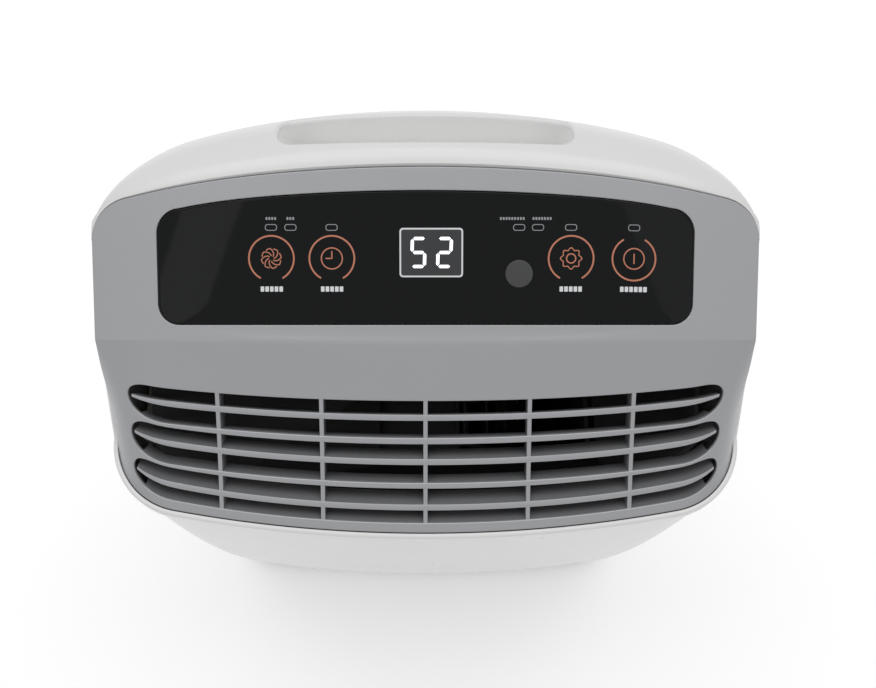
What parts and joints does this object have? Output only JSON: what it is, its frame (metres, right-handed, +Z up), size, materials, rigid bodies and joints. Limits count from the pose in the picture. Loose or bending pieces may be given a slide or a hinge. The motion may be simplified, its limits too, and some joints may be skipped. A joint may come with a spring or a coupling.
{
  "type": "dehumidifier",
  "caption": "Compact compressor dehumidifier with a louvred silver outlet mask, touch panel, rear intake filter and pull-out water tank.",
  "frame": {"origin": "on the floor under the middle of the housing", "axes": "+Z up, the front with the louvred mask faces -Y, +X to the right seen from the front"},
  "size_m": [0.31, 0.205, 0.4302],
  "materials": {
    "white_shell": "glossy",
    "silver_mask": "satin silver",
    "black_lens": "high gloss",
    "sensor_grey": "satin",
    "display_dark": "matte",
    "led_white": "matte",
    "dark_plastic": "matte",
    "grey_plastic": "matte",
    "cream_plastic": "matte",
    "tank_smoke": "glossy",
    "tank_lid_grey": "matte",
    "float_foam": "matte",
    "rubber": "matte",
    "steel": "satin",
    "motor_zinc": "satin",
    "compressor_black": "semi gloss",
    "aluminium_fins": "satin",
    "copper": "satin",
    "spring_steel": "satin",
    "circuit_green": "satin",
    "cable_black": "matte",
    "filter_net": "matte"
  },
  "bodies": {
    "root": {"front_housing": "white_shell", "rear_housing": "white_shell", "handle_insert": "white_shell", "outlet_mask": "silver_mask", "base_pan": "dark_plastic", "rubber_feet": "rubber", "housing_screws": "steel", "bay_divider": "grey_plastic", "bay_deck": "grey_plastic", "control_lens": "black_lens", "sensor_window": "sensor_grey", "display_module": "display_dark", "indicator_leds": "led_white", "touch_springs": "spring_steel", "control_board": "circuit_green", "board_screws": "steel", "scroll_rear": "dark_plastic", "scroll_front": "dark_plastic", "outlet_duct": "dark_plastic", "fan_motor": "motor_zinc", "motor_bushes": "rubber", "motor_screws": "steel", "compressor": "compressor_black", "compressor_grommets": "rubber", "compressor_nuts": "steel", "terminal_cover": "dark_plastic", "accumulator": "compressor_black", "evaporator_fins": "aluminium_fins", "evaporator_tube": "copper", "condenser_fins": "aluminium_fins", "condenser_tube": "copper", "suction_pipe": "copper", "discharge_pipe": "copper", "capillary_tube": "copper", "filter_drier": "copper", "drip_tray": "grey_plastic", "drain_spigot": "grey_plastic", "electronics_box": "cream_plastic", "electronics_cover": "cream_plastic", "main_board": "circuit_green", "run_capacitor": "steel", "humidity_sensor": "cream_plastic", "defrost_probe": "compressor_black", "wiring_harness": "cable_black", "float_sensor": "cream_plastic", "cord_gland": "dark_plastic"},
    "fan_rotor": {"fan_wheel": "dark_plastic", "fan_shaft": "steel", "fan_nut": "steel"},
    "tank": {"water_tank": "tank_smoke", "tank_lid": "tank_lid_grey", "tank_seal": "rubber"},
    "float": {"tank_float": "float_foam", "float_magnet": "steel"},
    "intake": {"intake_grille": "white_shell", "filter_frame": "grey_plastic", "filter_mesh": "filter_net"},
    "drain_plug": {"drain_plug": "dark_plastic"}
  },
  "joints": [
    {"name": "fan_spin", "type": "hinge", "parent": "root", "child": "fan_rotor", "pos_m": [0, -0.03, 0.258], "axis": [0, -1, 0], "continuous": true},
    {"name": "tank_slide", "type": "slide", "parent": "root", "child": "tank", "axis": [0, 1, 0], "range_m": [0, 0.17]},
    {"name": "float_swing", "type": "hinge", "parent": "tank", "child": "float", "pos_m": [0.102, -0.033, 0.121], "axis": [1, 0, 0], "range_deg": [0, 15]},
    {"name": "intake_pull", "type": "slide", "parent": "root", "child": "intake", "axis": [0, 1, 0], "range_m": [0, 0.12]},
    {"name": "drain_plug_pull", "type": "slide", "parent": "root", "child": "drain_plug", "axis": [0, 1, 0], "range_m": [0, 0.03]}
  ]
}
